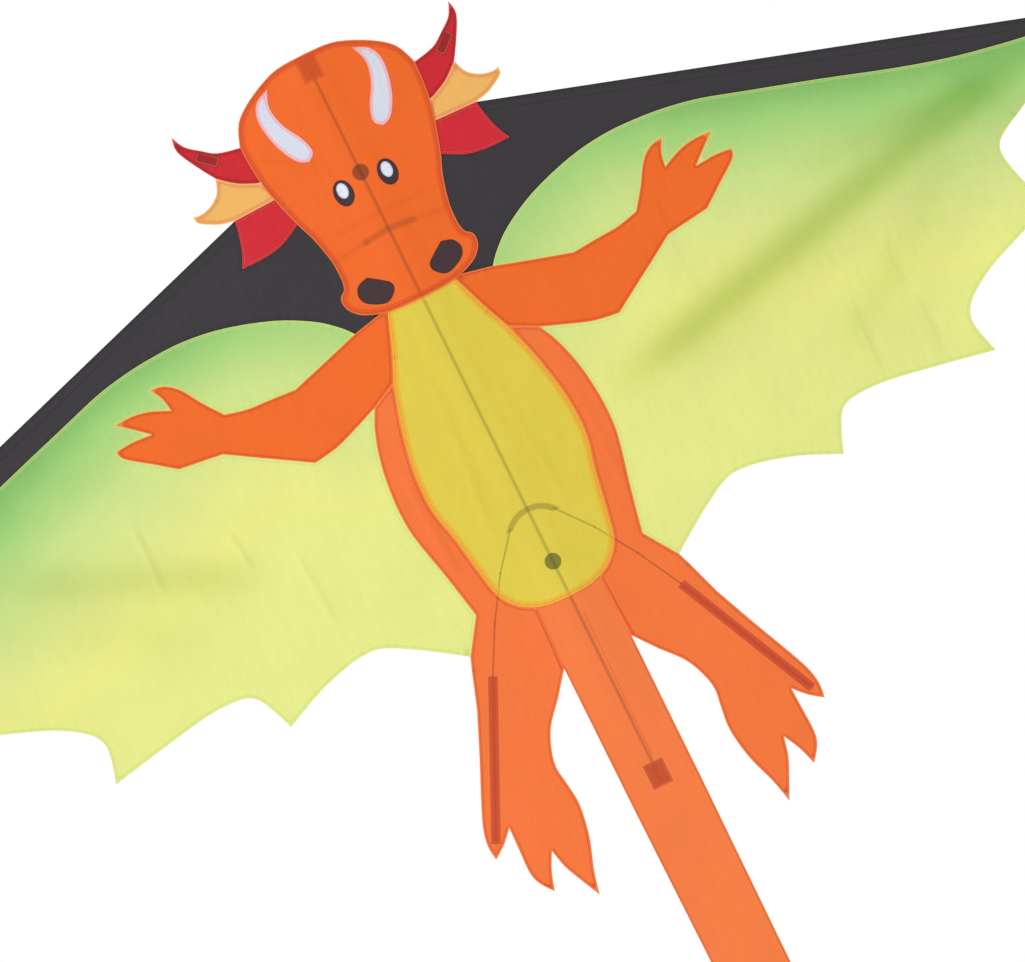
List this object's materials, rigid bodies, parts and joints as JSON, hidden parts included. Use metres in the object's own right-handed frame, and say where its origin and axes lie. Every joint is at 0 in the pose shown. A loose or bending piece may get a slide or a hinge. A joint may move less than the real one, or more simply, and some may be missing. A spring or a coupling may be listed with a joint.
{
  "type": "dragon kite",
  "caption": "Delta kite with a sewn dragon body, scalloped wings that fold back about the spine, loose feet and a long ribbon tail on a rod frame.",
  "frame": {"origin": "upper bridle point: where the upper bridle is tied on the spine, at the face of the sail behind the brow", "axes": "+Z along the spine towards the head, +Y out of the back of the sail, so the painted face looks along -Y, and the wings lie along X"},
  "size_m": [1.912, 0.0743, 2.849],
  "materials": {
    "orange_cloth": "coated ripstop, slightly glossy",
    "red_cloth": "coated ripstop",
    "tan_cloth": "coated ripstop",
    "white_cloth": "coated ripstop",
    "black_cloth": "coated ripstop",
    "dark_cloth": "coated ripstop",
    "green_cloth": "coated ripstop, printed from green at the leading edge to yellow",
    "yellow_cloth": "coated ripstop",
    "pocket_cloth": "woven tape",
    "dark_rod": "pultruded fibreglass and carbon rod",
    "black_rubber": "matt"
  },
  "bodies": {
    "frame": {"spine_upper": "dark_rod", "spine_lower": "dark_rod", "spine_ferrule": "dark_rod", "spine_caps": "black_rubber", "spine_pockets": "pocket_cloth", "bridle_patches": "black_cloth", "spreader_hub": "black_rubber", "leg_hub": "black_rubber", "head_middle": "orange_cloth", "belly_middle": "yellow_cloth", "tail_upper": "orange_cloth"},
    "left_wing": {"spreader_arm_left": "black_rubber", "spreader_rod_left": "dark_rod", "spreader_pocket_left": "pocket_cloth", "leading_spar_left": "dark_rod", "spar_caps_left": "black_rubber", "leg_arm_left": "black_rubber", "leg_rod_left": "dark_rod", "horn_rod_left": "dark_rod", "horn_pocket_left": "pocket_cloth", "head_left": "orange_cloth", "horn_left": "red_cloth", "ear_left": "tan_cloth", "frill_left": "red_cloth", "brow_stripe_left": "white_cloth", "face_patches_left": "black_cloth", "eye_shine_left": "white_cloth", "leading_panel_left": "dark_cloth", "wing_panel_left": "green_cloth", "arm_left": "orange_cloth", "belly_left": "yellow_cloth", "torso_left": "orange_cloth"},
    "left_foot": {"foot_left": "orange_cloth", "leg_pocket_left": "pocket_cloth"},
    "right_wing": {"spreader_arm_right": "black_rubber", "spreader_rod_right": "dark_rod", "spreader_pocket_right": "pocket_cloth", "leading_spar_right": "dark_rod", "spar_caps_right": "black_rubber", "leg_arm_right": "black_rubber", "leg_rod_right": "dark_rod", "horn_rod_right": "dark_rod", "horn_pocket_right": "pocket_cloth", "head_right": "orange_cloth", "horn_right": "red_cloth", "ear_right": "tan_cloth", "frill_right": "red_cloth", "brow_stripe_right": "white_cloth", "face_patches_right": "black_cloth", "eye_shine_right": "white_cloth", "leading_panel_right": "dark_cloth", "wing_panel_right": "green_cloth", "arm_right": "orange_cloth", "belly_right": "yellow_cloth", "torso_right": "orange_cloth"},
    "right_foot": {"foot_right": "orange_cloth", "leg_pocket_right": "pocket_cloth"},
    "tail_middle": {"tail_middle": "orange_cloth"},
    "tail_lower": {"tail_lower": "orange_cloth"},
    "tail_end": {"tail_end": "orange_cloth"}
  },
  "joints": [
    {"name": "left_wing_fold", "type": "hinge", "parent": "frame", "child": "left_wing", "pos_m": [0, 0.005, 0], "axis": [0, 0, -1], "range_deg": [0, 35], "stiffness_Nm_per_rad": 0.5},
    {"name": "right_wing_fold", "type": "hinge", "parent": "frame", "child": "right_wing", "pos_m": [0, 0.005, 0], "axis": [0, 0, 1], "range_deg": [0, 35], "stiffness_Nm_per_rad": 0.5},
    {"name": "left_foot_fold", "type": "hinge", "parent": "left_wing", "child": "left_foot", "pos_m": [-0.13766, 0.01463, -0.671], "axis": [0.4261, -0.0298, 0.9042], "range_deg": [-25, 25], "stiffness_Nm_per_rad": 0.03},
    {"name": "right_foot_fold", "type": "hinge", "parent": "right_wing", "child": "right_foot", "pos_m": [0.13766, 0.01463, -0.671], "axis": [0.4261, 0.0298, -0.9042], "range_deg": [-25, 25], "stiffness_Nm_per_rad": 0.03},
    {"name": "tail_middle_swing", "type": "hinge", "parent": "frame", "child": "tail_middle", "pos_m": [0, 0.0003, -0.907], "axis": [1, 0, 0], "range_deg": [-40, 40]},
    {"name": "tail_lower_swing", "type": "hinge", "parent": "tail_middle", "child": "tail_lower", "pos_m": [0, 0.0003, -1.427], "axis": [1, 0, 0], "range_deg": [-40, 40]},
    {"name": "tail_end_swing", "type": "hinge", "parent": "tail_lower", "child": "tail_end", "pos_m": [0, 0.0003, -2.007], "axis": [1, 0, 0], "range_deg": [-40, 40]}
  ]
}
